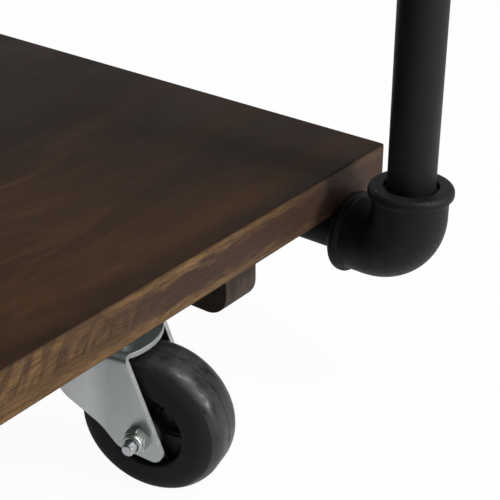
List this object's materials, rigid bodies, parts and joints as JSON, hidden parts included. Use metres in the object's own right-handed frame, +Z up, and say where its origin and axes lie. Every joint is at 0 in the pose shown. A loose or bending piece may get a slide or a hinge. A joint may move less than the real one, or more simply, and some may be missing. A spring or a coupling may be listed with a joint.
{
  "type": "bar cart",
  "caption": "Two-tier bar cart of dark wooden shelves in a black pipe frame with handle bars, on swivel casters.",
  "frame": {"origin": "on the floor, under the middle of the cart", "axes": "+X along the shelves, -Y the front, +Z up"},
  "size_m": [0.9144, 0.5292, 0.9065],
  "materials": {
    "walnut_board": "dark stain under a satin varnish",
    "batten_wood": "thin dark stain, sawn and sanded",
    "black_steel_tube": "matt black powder coat",
    "black_cast_iron": "matt black coat over a sand-cast skin",
    "zinc_sheet": "satin bright zinc on rolled sheet",
    "zinc_hardware": "bright zinc",
    "bushing_steel": "turned",
    "black_rubber": "moulded, glossy tread and duller sides",
    "ball_steel": "polished",
    "screw_steel": "zinc plated"
  },
  "bodies": {
    "cart": {"caster_kingpins": "zinc_hardware", "caster_plate_front_left": "zinc_sheet", "caster_plate_front_right": "zinc_sheet", "caster_plate_rear_left": "zinc_sheet", "caster_plate_rear_right": "zinc_sheet", "caster_screws": "screw_steel", "handle_bar_left": "black_steel_tube", "handle_bar_right": "black_steel_tube", "long_screws": "screw_steel", "lower_batten_left": "batten_wood", "lower_batten_right": "batten_wood", "lower_crossbar_left": "black_steel_tube", "lower_crossbar_right": "black_steel_tube", "lower_elbow_front_left": "black_cast_iron", "lower_elbow_front_right": "black_cast_iron", "lower_elbow_rear_left": "black_cast_iron", "lower_elbow_rear_right": "black_cast_iron", "lower_post_front_left": "black_steel_tube", "lower_post_front_right": "black_steel_tube", "lower_post_rear_left": "black_steel_tube", "lower_post_rear_right": "black_steel_tube", "lower_shelf": "walnut_board", "swivel_balls": "ball_steel", "tee_front_left": "black_cast_iron", "tee_front_right": "black_cast_iron", "tee_rear_left": "black_cast_iron", "tee_rear_right": "black_cast_iron", "top_elbow_front_left": "black_cast_iron", "top_elbow_front_right": "black_cast_iron", "top_elbow_rear_left": "black_cast_iron", "top_elbow_rear_right": "black_cast_iron", "upper_batten_left": "batten_wood", "upper_batten_right": "batten_wood", "upper_crossbar_left": "black_steel_tube", "upper_crossbar_right": "black_steel_tube", "upper_post_front_left": "black_steel_tube", "upper_post_front_right": "black_steel_tube", "upper_post_rear_left": "black_steel_tube", "upper_post_rear_right": "black_steel_tube", "upper_shelf": "walnut_board"},
    "fork_front_left": {"axle_bolt_front_left": "zinc_hardware", "axle_nut_front_left": "zinc_hardware", "caster_fork_front_left": "zinc_sheet", "wheel_bushing_front_left": "bushing_steel"},
    "wheel_front_left": {"wheel_front_left": "black_rubber"},
    "fork_front_right": {"axle_bolt_front_right": "zinc_hardware", "axle_nut_front_right": "zinc_hardware", "caster_fork_front_right": "zinc_sheet", "wheel_bushing_front_right": "bushing_steel"},
    "wheel_front_right": {"wheel_front_right": "black_rubber"},
    "fork_rear_left": {"axle_bolt_rear_left": "zinc_hardware", "axle_nut_rear_left": "zinc_hardware", "caster_fork_rear_left": "zinc_sheet", "wheel_bushing_rear_left": "bushing_steel"},
    "wheel_rear_left": {"wheel_rear_left": "black_rubber"},
    "fork_rear_right": {"axle_bolt_rear_right": "zinc_hardware", "axle_nut_rear_right": "zinc_hardware", "caster_fork_rear_right": "zinc_sheet", "wheel_bushing_rear_right": "bushing_steel"},
    "wheel_rear_right": {"wheel_rear_right": "black_rubber"}
  },
  "joints": [
    {"name": "swivel_front_left", "type": "hinge", "parent": "cart", "child": "fork_front_left", "pos_m": [-0.2721, -0.1625, 0.08], "axis": [0, 0, 1], "continuous": true},
    {"name": "roll_front_left", "type": "hinge", "parent": "fork_front_left", "child": "wheel_front_left", "pos_m": [-0.26504, -0.19083, 0.0381], "axis": [0.9703, 0.2419, 0], "continuous": true},
    {"name": "swivel_front_right", "type": "hinge", "parent": "cart", "child": "fork_front_right", "pos_m": [0.2721, -0.1625, 0.08], "axis": [0, 0, 1], "continuous": true},
    {"name": "roll_front_right", "type": "hinge", "parent": "fork_front_right", "child": "wheel_front_right", "pos_m": [0.27916, -0.19083, 0.0381], "axis": [0.9703, 0.2419, 0], "continuous": true},
    {"name": "swivel_rear_left", "type": "hinge", "parent": "cart", "child": "fork_rear_left", "pos_m": [-0.2721, 0.1625, 0.08], "axis": [0, 0, 1], "continuous": true},
    {"name": "roll_rear_left", "type": "hinge", "parent": "fork_rear_left", "child": "wheel_rear_left", "pos_m": [-0.26504, 0.13417, 0.0381], "axis": [0.9703, 0.2419, 0], "continuous": true},
    {"name": "swivel_rear_right", "type": "hinge", "parent": "cart", "child": "fork_rear_right", "pos_m": [0.2721, 0.1625, 0.08], "axis": [0, 0, 1], "continuous": true},
    {"name": "roll_rear_right", "type": "hinge", "parent": "fork_rear_right", "child": "wheel_rear_right", "pos_m": [0.27916, 0.13417, 0.0381], "axis": [0.9703, 0.2419, 0], "continuous": true}
  ]
}
